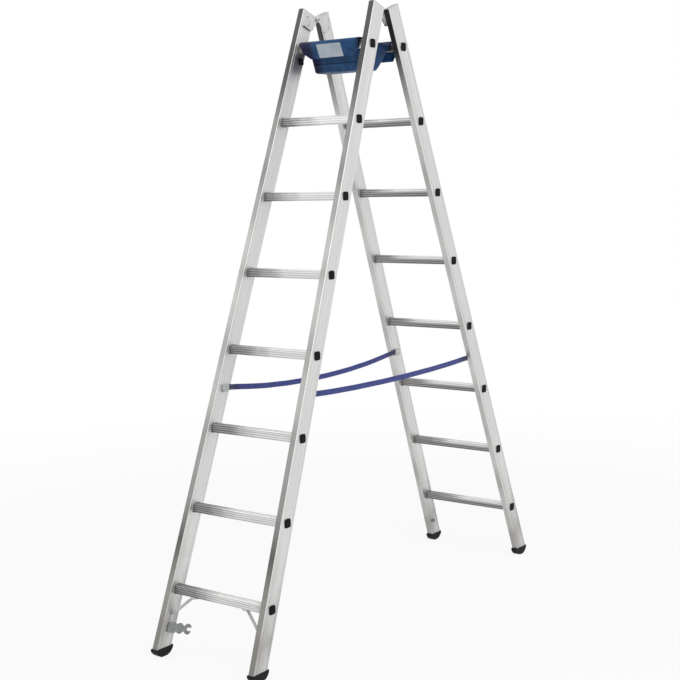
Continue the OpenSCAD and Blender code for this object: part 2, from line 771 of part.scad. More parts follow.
module left_rung_brace() color(aluminium) front() left() rung_brace();
module right_rung_brace() color(aluminium) front() rung_brace();
module brace_rivets() color(steel) front() {
    rivet_pair(brace_rivets_at, brace_face_x - brace_thick);
    brace_rung_rivet();
    left() brace_rung_rivet();
}

// Transport catch: a riveted plate with two round lobes, the outer one slotted to take the keeper stud
// when the ladder is folded
module catch_base_outline()
    translate([facing_y - catch_base_d / 2, catch_z])
        rounded_rect(catch_base_d, catch_base_h, catch_base_h * catch_round_share);

module catch_outline() translate([0, catch_z]) difference() {
    union() {
        translate([facing_y - catch_base_d / 2, -catch_waist / 2])
            square([seat_y - facing_y + catch_base_d / 2, catch_waist]);
        translate([lobe_y, 0]) circle(lobe_r);
        translate([seat_y, 0]) circle(lobe_r);
    }
    translate([seat_y, 0]) circle(slot_half);
    translate([seat_y, -slot_half]) square([lobe_r + overrun, 2 * slot_half]);
}

module transport_catch_plate() difference() {
    union() {
        across(catch_in, catch_out) catch_outline();
        across(catch_in, stile_x(catch_z, 0)) catch_base_outline();
    }
    stile_cut();
    for (place = catch_rivets_at) rivet_hole(place);
}

module transport_catch() color(steel) front() left() transport_catch_plate();
module catch_rivets() color(steel) front() left() for (place = catch_rivets_at) rivet(place, catch_in);

// Keeper stud: a headed stud on the rear stile's inner face
module keeper() translate([0, -seat_y, catch_z]) {
    stud_face_x = inner_x(catch_z);
    across(stud_face_x, stud_face_x + stile_wall + rivet_tail) circle(stud_shank_r);
    difference() {
        across(stud_face_x - stud_neck, stud_face_x + stud_fit) circle(stud_r);
        translate([0, seat_y, -catch_z]) stile_cut();
    }
    across(stud_face_x - stud_neck - stud_head_h, stud_face_x - stud_neck) circle(stud_head_r);
}

module keeper_stud() color(steel) rear() left() keeper();

front_left_stile();
front_right_stile();
rear_left_stile();
rear_right_stile();
for (i = [1:rung_count]) {
    front_rung(i);
    rear_rung(i);
}
front_left_rung_caps();
front_right_rung_caps();
rear_left_rung_caps();
rear_right_rung_caps();
front_left_foot();
front_right_foot();
rear_left_foot();
rear_right_foot();
front_top_covers();
rear_top_covers();
front_left_hinge_plate();
front_right_hinge_plate();
rear_left_hinge_plate();
rear_right_hinge_plate();
left_hinge_pin();
right_hinge_pin();
front_hinge_rivets();
rear_hinge_rivets();
tool_tray();
left_tray_guide();
right_tray_guide();
tray_guide_rivets();
left_strap();
right_strap();
front_left_strap_clip();
front_right_strap_clip();
rear_left_strap_clip();
rear_right_strap_clip();
front_strap_rivets();
rear_strap_rivets();
left_rung_brace();
right_rung_brace();
brace_rivets();
transport_catch();
catch_rivets();
keeper_stud();
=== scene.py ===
# %% [markdown]
# A trestle ladder in aluminium: two sections of rungs hinged at the top, a blue tool tray on the top rungs,
# and two webbing straps that keep the sections from sliding apart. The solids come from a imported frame, so each
# piece is already in its place. This lesson gives every piece the finish of the real one, and models again
# what a solid can't show: the woven straps, the moulded tray and its bare plate.

# %% Load the frame
import math

import bmesh
import bpy
from mathutils import Matrix, Vector


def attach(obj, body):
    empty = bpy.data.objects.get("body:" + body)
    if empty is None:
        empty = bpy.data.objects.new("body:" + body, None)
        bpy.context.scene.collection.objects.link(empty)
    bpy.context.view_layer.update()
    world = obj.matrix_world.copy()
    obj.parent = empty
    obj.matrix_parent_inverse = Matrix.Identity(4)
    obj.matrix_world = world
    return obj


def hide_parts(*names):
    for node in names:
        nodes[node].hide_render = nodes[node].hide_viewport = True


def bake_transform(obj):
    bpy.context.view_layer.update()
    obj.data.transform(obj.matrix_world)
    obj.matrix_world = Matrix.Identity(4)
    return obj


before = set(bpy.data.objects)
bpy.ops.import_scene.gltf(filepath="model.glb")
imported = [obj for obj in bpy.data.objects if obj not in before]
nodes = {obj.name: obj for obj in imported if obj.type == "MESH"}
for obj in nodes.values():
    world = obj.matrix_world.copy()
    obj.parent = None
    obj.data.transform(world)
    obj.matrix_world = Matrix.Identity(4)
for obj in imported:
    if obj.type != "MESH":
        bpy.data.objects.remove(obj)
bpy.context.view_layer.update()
MM = 0.001

# %% [markdown]
# The camera comes first. The photograph was taken from the right, at about eye height, nearly five metres away.
# Yaw, pitch and roll were found from the rung ends, which stand 280 mm apart on ladders of this kind.

# %% Camera
CAMERA_PLACE = (2.84620, -3.89943, 1.58899)
CAMERA_YAW = 0.642022
CAMERA_PITCH = -0.122700
CAMERA_ROLL = -0.021835
LENS_MM = 69.32
SENSOR_MM = 36

camera_data = bpy.data.cameras.new("photo_camera")
camera_data.sensor_fit = "HORIZONTAL"
camera_data.sensor_width = SENSOR_MM
camera_data.lens = LENS_MM
camera = bpy.data.objects.new("photo_camera", camera_data)
bpy.context.scene.collection.objects.link(camera)
turned = (Matrix.Rotation(CAMERA_YAW, 4, "Z")
          @ Matrix.Rotation(math.pi / 2 + CAMERA_PITCH, 4, "X")
          @ Matrix.Rotation(CAMERA_ROLL, 4, "Z"))
camera.location = CAMERA_PLACE
camera.rotation_euler = turned.to_euler()
bpy.context.scene.camera = camera
bpy.context.scene.view_settings.view_transform = "Standard"
print("camera:", camera.name, "lens", LENS_MM, "mm")

# %% [markdown]
# Each spreader strap is a flat band of woven webbing, 20 mm wide, that stands on its edge between two clips.
# It could be a curve with a flat profile, but a curve twists freely at its bends. A ribbon laid point by point
# along the route keeps its edge upright, has rounded edges, and carries a map that follows the weave.

# %% Strap routes
ROUTE_Y = (-532, -514, -480, -430, -370, -310, -250, -190, -130, -60, 0)
LEFT_Z = (874, 874, 871, 865, 858, 852, 848, 844, 842, 840, 840)
RIGHT_Z = (874, 874, 873, 870, 867, 865, 863, 862, 861, 860, 860)
STRAP_X = 175
STEPS_PER_POINT = 8


def strap_route(side, heights):
    """The route of one strap in metres, the rear half mirrored from the front one, smoothed between its points."""
    half = [Vector((side * STRAP_X, y, z)) * MM for y, z in zip(ROUTE_Y, heights)]
    points = half + [Vector((p.x, -p.y, p.z)) for p in reversed(half[:-1])]
    ends = [2 * points[0] - points[1]] + points + [2 * points[-1] - points[-2]]
    smooth = []
    for a, b, c, d in zip(ends, ends[1:], ends[2:], ends[3:]):
        for step in range(STEPS_PER_POINT):
            t = step / STEPS_PER_POINT
            smooth.append((2 * b + (c - a) * t + (2 * a - 5 * b + 4 * c - d) * t * t
                           + (3 * b - a - 3 * c + d) * t ** 3) / 2)
    return smooth + [points[-1]]


# %% Strap ribbons
STRAP_WIDTH = 20 * MM
STRAP_THICK = 1.8 * MM
STRAP_HEM = 46 * MM
HEM_FOLD = 1.6
EDGE_TURNS = 5
SELVEDGE_ANGLE = math.radians(50)


def strap_section(thick):
    """The outline of the webbing cut across, as (out, up), with half-round selvedges."""
    outline = []
    flat = STRAP_WIDTH / 2 - thick / 2
    for side in (1, -1):
        for turn in range(EDGE_TURNS):
            angle = math.pi * (turn / (EDGE_TURNS - 1)) - math.pi / 2
            out = -side * math.sin(angle) * thick / 2
            up = side * (flat + math.cos(angle) * thick / 2)
            outline.append((out, up))
    return outline


def webbing(name, route):
    """A ribbon along the route, thicker where its ends are folded back and sewn, and its length."""
    along = [0.0]
    for a, b in zip(route, route[1:]):
        along.append(along[-1] + (b - a).length)
    points, faces, across = [], [], []
    for i, place in enumerate(route):
        ahead = (route[min(i + 1, len(route) - 1)] - route[max(i - 1, 0)]).normalized()
        out = Vector((1, 0, 0))
        up = out.cross(ahead).normalized()
        from_end = min(along[i], along[-1] - along[i])
        thick = STRAP_THICK * (HEM_FOLD if from_end < STRAP_HEM else 1)
        for o, u in strap_section(thick):
            points.append(place + out * o + up * u)
            across.append((from_end, u))
    ring = 2 * EDGE_TURNS
    for i in range(len(route) - 1):
        for k in range(ring):
            a, b = i * ring + k, i * ring + (k + 1) % ring
            faces.append((a, a + ring, b + ring, b))
    faces.append(tuple(range(ring)))
    faces.append(tuple(reversed(range(len(points) - ring, len(points)))))
    mesh = bpy.data.meshes.new(name)
    mesh.from_pydata(points, [], faces)
    weave = mesh.uv_layers.new(name="weave")
    for loop in mesh.loops:
        weave.data[loop.index].uv = across[loop.vertex_index]
    piece = bpy.data.objects.new(name, mesh)
    bpy.context.scene.collection.objects.link(piece)
    bpy.ops.object.select_all(action="DESELECT")
    piece.select_set(True)
    bpy.context.view_layer.objects.active = piece
    bpy.ops.object.mode_set(mode="EDIT")
    bpy.ops.mesh.select_all(action="SELECT")
    bpy.ops.mesh.normals_make_consistent(inside=False)
    bpy.ops.object.mode_set(mode="OBJECT")
    bpy.ops.object.shade_smooth_by_angle(angle=SELVEDGE_ANGLE)
    return piece, along[-1]


straps = []
for side_name, side, heights in (("left", -1, LEFT_Z), ("right", 1, RIGHT_Z)):
    route = strap_route(side, heights)
    strap, strap_length = webbing(side_name + "_webbing", route)
    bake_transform(strap)
    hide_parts(side_name + "_strap")
    straps.append(strap)
    print(strap.name, "length", round(strap_length, 3), "m")

# %% [markdown]
# The tool tray is one moulding in blue polypropylene: a tub between the two top rungs, a hook over each rung, a
# sloping panel in front of the front rung and a skirt behind the rear one. It could be a box with its top cut
# away, but a moulding is a sheet of one thickness, so it is drawn as a sheet: one edge as long as the tray,
# extruded from corner to corner of its cross-section and drawn in or out on the way. The places are millimetres
# from the axis of the top rungs, and the third value is half the length there. The front hook keeps 21.5 mm
# from the front rung's axis, because the tray tips about that rung when the ladder folds.


# %% Selecting in edit mode
def pick_edges(piece, wanted):
    """Selects the edges whose two ends meet the test, and says how many there are."""
    bpy.ops.mesh.select_mode(type="EDGE")
    bpy.ops.mesh.select_all(action="DESELECT")
    shape = bmesh.from_edit_mesh(piece.data)
    chosen = [edge for edge in shape.edges if wanted(edge.verts[0].co, edge.verts[1].co)]
    for edge in chosen:
        edge.select_set(True)
    bmesh.update_edit_mesh(piece.data)
    return len(chosen)


# %% A sheet drawn from corner to corner
TOP_RUNG_Z = 2053.9
WORK_TOP = 1.0
SHARP = math.radians(40)
EDGE_SEGMENTS = 2


def new_piece(name):
    """An empty mesh at the origin, selected alone and open for editing."""
    bpy.ops.object.select_all(action="DESELECT")
    bpy.ops.object.add(type="MESH", location=(0, 0, 0))
    piece = bpy.context.object
    piece.name = name
    bpy.ops.object.mode_set(mode="EDIT")
    return piece


def draw_sheet(piece, corners):
    """One edge of a new plane, taken to the first corner and extruded on to the others: (y, z, half length)."""
    bpy.ops.mesh.primitive_plane_add(size=2, location=(0, 0, 0))
    pick_edges(piece, lambda a, b: max(a.z, b.z) < WORK_TOP and min(a.y, b.y) > 0)
    bpy.ops.mesh.delete(type="VERT")
    pick_edges(piece, lambda a, b: max(a.z, b.z) < WORK_TOP)
    y, z, half = corners[0]
    bpy.ops.transform.resize(value=(half * MM, 1, 1), center_override=(0, 0, 0))
    bpy.ops.transform.translate(value=(0, 1 + y * MM, (TOP_RUNG_Z + z) * MM))
    for next_y, next_z, next_half in corners[1:]:
        step = (0, (next_y - y) * MM, (next_z - z) * MM)
        bpy.ops.mesh.extrude_region_move(TRANSFORM_OT_translate={"value": step})
        bpy.ops.transform.resize(value=(next_half / half, 1, 1), center_override=(0, 0, 0))
        y, z, half = next_y, next_z, next_half


def finish_sheet(piece, thick, soft):
    """Gives the sheet its thickness, breaks its sharp edges and smooths what is meant to be round."""
    bpy.ops.mesh.select_all(action="SELECT")
    bpy.ops.mesh.normals_make_consistent(inside=False)
    bpy.ops.object.mode_set(mode="OBJECT")
    bpy.ops.object.modifier_add(type="SOLIDIFY")
    wall = piece.modifiers[-1]
    wall.thickness = thick * MM
    wall.offset = 0
    wall.use_even_offset = True
    bpy.ops.object.modifier_apply(modifier=wall.name)
    bpy.ops.object.modifier_add(type="BEVEL")
    edge = piece.modifiers[-1]
    edge.width = soft * MM
    edge.segments = EDGE_SEGMENTS
    edge.limit_method = "ANGLE"
    edge.angle_limit = SHARP
    bpy.ops.object.modifier_apply(modifier=edge.name)
    bpy.ops.object.shade_smooth_by_angle(angle=SHARP)
    print(piece.name, "faces:", len(piece.data.polygons))


# %% Cross-section of the tray
PANEL = [(-102.5, -37, 94), (-112.2, -17, 121), (-126, 12, 129)]
FRONT_HOOK = [(-125, 17.5, 129), (-121, 21.5, 129), (-113, 22.6, 129), (-95.9, 22.6, 129), (-87, 20.4, 129),
              (-80, 14.8, 129)]
FRONT_WALL = [(-75.6, 8, 125), (-60.6, -84.5, 110)]
REAR_WALL = [(13.5, -84.5, 110), (27.5, -69.5, 113), (44, -48, 116.5), (59.5, -24, 120), (68.3, -8, 122.5),
             (76, 8, 125)]
REAR_HOOK = [(79.2, 14, 129), (86, 20, 129), (95.9, 22, 129), (105, 21.8, 129), (112.5, 19, 129),
             (117.5, 12.5, 129), (119.2, 4, 129), (114.5, -24, 126), (110.5, -48, 116)]
BEAD = [(-65.4, -56, 107), (-69.2, -58.5, 106), (-68.7, -62, 106), (-63.6, -66, 105)]
CROSS_SECTION = PANEL + FRONT_HOOK + FRONT_WALL + REAR_WALL + REAR_HOOK

tray = new_piece("moulded_tray")
draw_sheet(tray, CROSS_SECTION)
print("corners of the cross-section:", len(CROSS_SECTION))

# %% Tub, rim and bead
RIM_Z = (TOP_RUNG_Z + FRONT_WALL[0][1]) * MM
FLOOR_Z = (TOP_RUNG_Z + FRONT_WALL[-1][1]) * MM
TUB_Y = 77 * MM
RIM_LONG = 100 * MM
NEAR = 1 * MM
TUB_ROUND, TUB_SEGMENTS = 7 * MM, 4
LIP_OUT, LIP_UP = 2.4 * MM, 1 * MM
LIP_LEAN, LIP_DROP = 0.4 * MM, 8 * MM
TRAY_WALL, TRAY_SOFT = 2.8, 0.8


def in_tub(p):
    """Whether a corner is on the walls or the floor of the tub."""
    return p.z < RIM_Z + NEAR / 2 and abs(p.y) < TUB_Y


def at_end(a, b, side):
    """Whether two corners are both at the tray's end on that side."""
    return a.x * side > 0 and b.x * side > 0


def to_round(a, b):
    """Whether an edge belongs to the tub below its rim, at one end of it or along the floor."""
    return (in_tub(a) and in_tub(b) and min(a.z, b.z) < RIM_Z - NEAR
            and (a.x * b.x > 0 or abs(a.z + b.z - 2 * FLOOR_Z) < NEAR))


for side in (-1, 1):
    pick_edges(tray, lambda a, b: in_tub(a) and in_tub(b) and at_end(a, b, side))
    bpy.ops.mesh.edge_face_add()
rounded = pick_edges(tray, to_round)
bpy.ops.mesh.bevel(offset=TUB_ROUND, segments=TUB_SEGMENTS, affect="EDGES")
for side in (-1, 1):
    pick_edges(tray, lambda a, b: abs(a.z - RIM_Z) + abs(b.z - RIM_Z) < NEAR and abs(a.y - b.y) > RIM_LONG
               and at_end(a, b, side))
    for lip_step in ((side * LIP_OUT, 0, LIP_UP), (side * LIP_LEAN, 0, -LIP_DROP)):
        bpy.ops.mesh.extrude_region_move(TRANSFORM_OT_translate={"value": lip_step})
draw_sheet(tray, BEAD)
finish_sheet(tray, TRAY_WALL, TRAY_SOFT)
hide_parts("tool_tray")
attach(tray, "tool_tray")
print("tray edges rounded:", rounded)

# %% [markdown]
# A thin pale plate is fixed to the sloping panel, where such trays carry printing. Here it stays bare. It is one
# more sheet on the panel's slope, 1.9 mm outside the middle of the panel's wall, with its corners rounded and its
# field inset by a hair, so that a narrow frame catches the light.

# %% Bare plate
PLATE_LOW, PLATE_HIGH = -35, 11
PLATE_HALF = 53
PLATE_OUT = 1.9
CORNER, CORNER_SEGMENTS = 4 * MM, 4
FRAME_WIDE, FRAME_DEEP = 2.2 * MM, 0.25 * MM
PLATE_THICK, PLATE_SOFT = 0.8, 0.15

panel_low, panel_high = Vector((0, *PANEL[0][:2])), Vector((0, *PANEL[-1][:2]))
slope = panel_high - panel_low
outwards = Vector((0, -slope.z, slope.y)).normalized()
plate_ends = [panel_low + slope * ((z - panel_low.z) / slope.z) + outwards * PLATE_OUT
              for z in (PLATE_LOW, PLATE_HIGH)]

plate = new_piece("bare_plate")
draw_sheet(plate, [(p.y, p.z, PLATE_HALF) for p in plate_ends])
bpy.ops.mesh.select_mode(type="VERT")
bpy.ops.mesh.select_all(action="SELECT")
bpy.ops.mesh.bevel(offset=CORNER, segments=CORNER_SEGMENTS, affect="VERTICES")
bpy.ops.mesh.select_mode(type="FACE")
bpy.ops.mesh.select_all(action="SELECT")
bpy.ops.mesh.inset(thickness=FRAME_WIDE, depth=-FRAME_DEEP)
finish_sheet(plate, PLATE_THICK, PLATE_SOFT)
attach(plate, "tool_tray")

# %% [markdown]
# Finishes. Every colour below is written as the sRGB value that the eye sees, and one function turns it into
# the linear value that Blender works with. One more function adds a node of any kind with its settings, its links
# and, on a colour ramp, its stops, so that a material reads as a list of what happens on its surface. Noise keeps
# mostly to the middle of its range, so tones and roughness begin and end inside it.

# %% Colours and nodes
NOISE_LOW, NOISE_HIGH = 0.3, 0.7
TONE_LOW, TONE_HIGH = 0.35, 0.65
WIDE_LOW, WIDE_HIGH = 0.2, 0.8


def linear(code):
    """The linear colour of an sRGB hex value."""
    channels = [int(code[i:i + 2], 16) / 255 for i in (1, 3, 5)]
    return tuple(c / 12.92 if c <= 0.04045 else ((c + 0.055) / 1.055) ** 2.4 for c in channels) + (1,)


def add(tree, kind, inputs=None, stops=None, **settings):
    """A new shader node with its settings, its inputs set or linked, and the stops of a colour ramp."""
    node = tree.nodes.new("ShaderNode" + kind)
    for name, value in settings.items():
        setattr(node, name, value)
    for socket, value in (inputs or {}).items():
        if isinstance(value, bpy.types.NodeSocket):
            tree.links.new(value, node.inputs[socket])
        else:
            node.inputs[socket].default_value = value
    if stops:
        marks = node.color_ramp.elements
        marks.remove(marks[-1])
        marks[0].position, marks[0].color = stops[0][0], linear(stops[0][1])
        for at, code in stops[1:]:
            marks.new(at).color = linear(code)
    return node


def new_finish(name):
    """An empty material and its node tree."""
    finish = bpy.data.materials.new(name)
    finish.use_nodes = True
    finish.node_tree.nodes.clear()
    return finish, finish.node_tree


def dress(names, finish):
    """Gives the named nodes one finish."""
    for name in names:
        for slot in nodes[name].material_slots:
            slot.material = finish


# %% [markdown]
# The stiles are extruded aluminium left as it came from the press, a pale grey metal with a soft shine. The die
# leaves fine lines along the length, handling leaves cloudy marks, and use leaves dull patches near the feet. The
# narrow faces are ribbed for grip, with their grooves painted a little darker as painted shade. In the photograph
# they are darker than the smooth broad ones: on the outer side darkest near the top, dark again above the lowest
# rung and pale in between, and on the inner side dark near the top only. Here the narrow faces carry painted shade,
# darkest near the top, and on the outer side they are also painted darker above the lowest rung. Their tones were
# written and then corrected against the photograph. The pattern could follow a map of each face, but the solids
# have none. Each stile leans by 20.5 degrees and flares outwards by 1.4, so two Mapping nodes carry the pattern
# into the stile's own frame: x across its 24 mm, y across its 67 mm and z along it, in metres from the hinge. There
# a narrow face is simply where y is close to 33.5 mm.

# %% Sizes and tones of the stiles
LEAN = math.radians(20.5)
FLARE = math.radians(1.3975)
HINGE_Z = 2171.79 * MM
STILE_X = 156 * MM
STILE_Y = 48.5 * MM
STILE_FOOT = -2.3
FLAT_HALF, EDGE_HALF = 31.6 * MM, 33.0 * MM
DIE_LINE = (1.6 * MM, 1.6 * MM, 420 * MM)
RIB = 4 * MM
RIB_SHADE, RIB_HEIGHT = 0.1, 1.5
CLOUD, LONG_CLOUD = 90 * MM, 260 * MM
# Tones of the narrow faces from foot to hinge: painted shade, darkest near the top; the outer ones also darker above
# the lowest rung.
OUTER_SHADE_TONES = ((-2.3, "#83817d"), (-2.12, "#999791"), (-1.94, "#6c6a68"), (-1.75, "#a09e9c"), (-1.35, "#b6b5b3"),
               (-0.85, "#b6b5b3"), (-0.5, "#9c9a99"), (-0.23, "#585655"), (0, "#5a5857"))
INNER_SHADE_TONES = ((-2.3, "#cbcac8"), (-0.37, "#d8d7d5"), (-0.16, "#585757"), (0, "#4e4d4d"))
WORN_TOP = -1.8
WORN_FROM, WORN_TO, WORN_SHARE = 0.1, 0.6, 0.6
STILE_ROUGH, WORN_ROUGH = (0.36, 0.5), 0.25
STILE_BUMP, STILE_DEPTH = 0.2, 0.2 * MM
outer_stops, inner_stops = [[((z - STILE_FOOT) / -STILE_FOOT, code) for z, code in tones]
                            for tones in (OUTER_SHADE_TONES, INNER_SHADE_TONES)]
print("stops along a stile:", len(outer_stops), "outside,", len(inner_stops), "inside")


# %% Stile finish
def stile_finish(name, end, side):
    """Mill-finish extrusion for one stile: end is -1 for the front section, side is -1 for the left."""
    finish, tree = new_finish(name)
    place = add(tree, "TexCoord").outputs["Object"]
    section = add(tree, "Mapping", {"Vector": place, "Location": (0, 0, HINGE_Z), "Rotation": (end * LEAN, 0, 0)},
                  vector_type="TEXTURE").outputs["Vector"]
    stile = add(tree, "Mapping", {"Vector": section, "Location": (side * STILE_X, end * STILE_Y, 0),
                                  "Rotation": (0, -side * FLARE, 0)}, vector_type="TEXTURE").outputs["Vector"]
    x, y, z = add(tree, "SeparateXYZ", {"Vector": stile}).outputs
    drawn = add(tree, "Mapping", {"Vector": stile, "Scale": DIE_LINE}, vector_type="TEXTURE").outputs["Vector"]
    streaks = add(tree, "TexNoise", {"Vector": drawn, "Scale": 1, "Detail": 3, "Roughness": 0.6}).outputs["Fac"]
    clouds = add(tree, "TexNoise", {"Vector": stile, "Scale": 1 / CLOUD, "Detail": 4}).outputs["Fac"]
    lengths = add(tree, "TexNoise", {"Vector": stile, "Scale": 1 / LONG_CLOUD, "Detail": 2}).outputs["Fac"]
    broad_stops = [(TONE_LOW, "#cacacb"), (TONE_HIGH, "#e3e2e0")]
    broad_tone = add(tree, "ValToRGB", {"Fac": streaks}, broad_stops).outputs["Color"]

    # The ribs of the narrow faces, with their grooves painted a little darker as painted shade.
    wave = add(tree, "Math", {0: x, 1: 2 * math.pi / RIB}, operation="MULTIPLY").outputs[0]
    rib = add(tree, "Math", {0: wave}, operation="COSINE").outputs[0]
    ribbed = add(tree, "Math", {0: rib, 1: RIB_SHADE, 2: lengths}, operation="MULTIPLY_ADD").outputs[0]
    shade_stops = [(NOISE_LOW, "#d2d2d2"), (NOISE_HIGH, "#ffffff")]
    shades = add(tree, "ValToRGB", {"Fac": ribbed}, shade_stops).outputs["Color"]
    above = add(tree, "MapRange", {"Value": z, "From Min": STILE_FOOT, "From Max": 0}).outputs["Result"]
    outside = add(tree, "ValToRGB", {"Fac": above}, outer_stops).outputs["Color"]
    inside = add(tree, "ValToRGB", {"Fac": above}, inner_stops).outputs["Color"]
    outward = add(tree, "Math", {0: y, 1: end}, operation="MULTIPLY").outputs[0]
    outer = add(tree, "Math", {0: outward, 1: 0}, operation="GREATER_THAN").outputs[0]
    # Painted shade of the narrow faces: the outer tones on the outer face, the inner tones on the inner face.
    narrow_shade = add(tree, "Mix", {0: outer, 6: inside, 7: outside}, data_type="RGBA").outputs[2]
    narrow_tone = add(tree, "Mix", {0: 1, 6: narrow_shade, 7: shades}, data_type="RGBA", blend_type="MULTIPLY").outputs[2]
    depth = add(tree, "Math", {0: y}, operation="ABSOLUTE").outputs[0]
    narrow = add(tree, "MapRange", {"Value": depth, "From Min": FLAT_HALF, "From Max": EDGE_HALF}).outputs["Result"]
    metal = add(tree, "Mix", {0: narrow, 6: broad_tone, 7: narrow_tone}, data_type="RGBA").outputs[2]

    low = add(tree, "MapRange", {"Value": z, "From Min": WORN_TOP, "From Max": STILE_FOOT}).outputs["Result"]
    patches = add(tree, "Math", {0: low, 1: clouds}, operation="MULTIPLY").outputs[0]
    dull = add(tree, "MapRange", {"Value": patches, "From Min": WORN_FROM, "From Max": WORN_TO,
                                  "To Max": WORN_SHARE}).outputs["Result"]
    worn = add(tree, "Mix", {0: dull, 6: metal, 7: linear("#8f8d89")}, data_type="RGBA").outputs[2]
    rough = add(tree, "MapRange", {"Value": clouds, "From Min": NOISE_LOW, "From Max": NOISE_HIGH,
                                   "To Min": STILE_ROUGH[0], "To Max": STILE_ROUGH[1]}).outputs["Result"]
    rougher = add(tree, "Math", {0: dull, 1: WORN_ROUGH, 2: rough}, operation="MULTIPLY_ADD").outputs[0]
    grooves = add(tree, "Math", {0: rib, 1: narrow}, operation="MULTIPLY").outputs[0]
    height = add(tree, "Math", {0: grooves, 1: RIB_HEIGHT, 2: streaks}, operation="MULTIPLY_ADD").outputs[0]
    relief = add(tree, "Bump", {"Height": height, "Strength": STILE_BUMP, "Distance": STILE_DEPTH}).outputs["Normal"]
    shader = add(tree, "BsdfPrincipled", {"Base Color": worn, "Roughness": rougher, "Normal": relief, "Metallic": 1})
    add(tree, "OutputMaterial", {"Surface": shader.outputs["BSDF"]})
    return finish


for end_name, end in (("front", -1), ("rear", 1)):
    for side_name, side in (("left", -1), ("right", 1)):
        stile_name = end_name + "_" + side_name
        dress([stile_name + "_stile"], stile_finish("extruded_aluminium_" + stile_name, end, side))
print("stiles dressed")

# %% [markdown]
# The rungs are extruded too, with flats and shallow grooves along their length, so each face shows light and dark
# lines. They could be cut into the mesh, but they are too fine for that, so a wave over the height draws them as
# painted light and shade, and as a bump. The lines stand 7.5 mm apart, a whole number of times in the 262 mm from
# rung to rung, so one wave fits every rung.
# In the photograph the rungs grow darker towards their left ends, and the rear ones, which show their inner faces,
# look dark all along. What causes it can't be seen. Here that is painted shade: the metal is darker, and rougher
# too, further from a place to the right of the middle, so towards the left end, and on the inner face.

# %% Rung finish
RUNG_RISE = 262.27 * MM
RUNG_LINES = RUNG_RISE / 35
LINE_SHADE = 0.28
RUNG_STREAK = (300 * MM, 1.4 * MM, 1.4 * MM)
RUNG_CLOUD = 70 * MM
# Where the rungs carry painted shade: far from a bright place right of the middle, and on the inner face.
BRIGHT_X = 80 * MM
BRIGHT_HALF, SHADE_EDGE, SHADE_RAGGED = 130 * MM, 250 * MM, 120 * MM
INNER_FACE = 33.5 * MM
INNER_FROM, INNER_TO = INNER_FACE + 3 * MM, INNER_FACE + 1 * MM
SHADED_END, SHADED_INSIDE = 0.9, 0.95
RUNG_ROUGH = (0.34, 0.5)
RUNG_BUMP, RUNG_DEPTH = 0.25, 0.3 * MM


def rung_finish(name, end):
    """Extruded tube: lengthwise lines, die streaks, painted shade towards the left end and on the inner face."""
    finish, tree = new_finish(name)
    place = add(tree, "TexCoord").outputs["Object"]
    rung = add(tree, "Mapping", {"Vector": place, "Location": (0, 0, TOP_RUNG_Z * MM)},
               vector_type="TEXTURE").outputs["Vector"]
    x, _, z = add(tree, "SeparateXYZ", {"Vector": rung}).outputs
    drawn = add(tree, "Mapping", {"Vector": rung, "Scale": RUNG_STREAK}, vector_type="TEXTURE").outputs["Vector"]
    streaks = add(tree, "TexNoise", {"Vector": drawn, "Scale": 1, "Detail": 3, "Roughness": 0.6}).outputs["Fac"]
    clouds = add(tree, "TexNoise", {"Vector": place, "Scale": 1 / RUNG_CLOUD, "Detail": 4}).outputs["Fac"]
    # Lengthwise lines: the flats and grooves drawn as painted light and shade, and as relief.
    wave = add(tree, "Math", {0: z, 1: 2 * math.pi / RUNG_LINES}, operation="MULTIPLY").outputs[0]
    line = add(tree, "Math", {0: wave}, operation="COSINE").outputs[0]
    lined = add(tree, "Math", {0: line, 1: LINE_SHADE, 2: streaks}, operation="MULTIPLY_ADD").outputs[0]

    # Painted shade, growing with the distance from the bright place, so towards the left end.
    aside = add(tree, "Math", {0: x, 1: BRIGHT_X}, operation="SUBTRACT").outputs[0]
    from_bright = add(tree, "Math", {0: aside}, operation="ABSOLUTE").outputs[0]
    ragged = add(tree, "Math", {0: clouds, 1: SHADE_RAGGED, 2: from_bright}, operation="MULTIPLY_ADD").outputs[0]
    end_shade = add(tree, "MapRange", {"Value": ragged, "From Min": BRIGHT_HALF, "From Max": SHADE_EDGE,
                                        "To Max": SHADED_END}).outputs["Result"]
    # Painted shade on the inner face as well.
    section = add(tree, "Mapping", {"Vector": place, "Location": (0, 0, HINGE_Z), "Rotation": (end * LEAN, 0, 0)},
                  vector_type="TEXTURE").outputs["Vector"]
    across = add(tree, "SeparateXYZ", {"Vector": section}).outputs["Y"]
    depth = add(tree, "Math", {0: across}, operation="ABSOLUTE").outputs[0]
    inner = add(tree, "MapRange", {"Value": depth, "From Min": INNER_FROM, "From Max": INNER_TO,
                                   "To Max": SHADED_INSIDE}).outputs["Result"]
    dull = add(tree, "Math", {0: end_shade, 1: inner}, operation="MAXIMUM").outputs[0]

    bright_stops = [(WIDE_LOW, "#b4b4b5"), (WIDE_HIGH, "#e9e8e6")]
    shaded_stops = [(WIDE_LOW, "#525151"), (WIDE_HIGH, "#9c9b9a")]
    bright = add(tree, "ValToRGB", {"Fac": lined}, bright_stops).outputs["Color"]
    shaded = add(tree, "ValToRGB", {"Fac": lined}, shaded_stops).outputs["Color"]
    metal = add(tree, "Mix", {0: dull, 6: bright, 7: shaded}, data_type="RGBA").outputs[2]
    rough = add(tree, "MapRange", {"Value": dull, "To Min": RUNG_ROUGH[0], "To Max": RUNG_ROUGH[1]}).outputs["Result"]
    relief = add(tree, "Bump", {"Height": lined, "Strength": RUNG_BUMP, "Distance": RUNG_DEPTH}).outputs["Normal"]
    shader = add(tree, "BsdfPrincipled", {"Base Color": metal, "Roughness": rough, "Normal": relief, "Metallic": 1})
    add(tree, "OutputMaterial", {"Surface": shader.outputs["BSDF"]})
    return finish


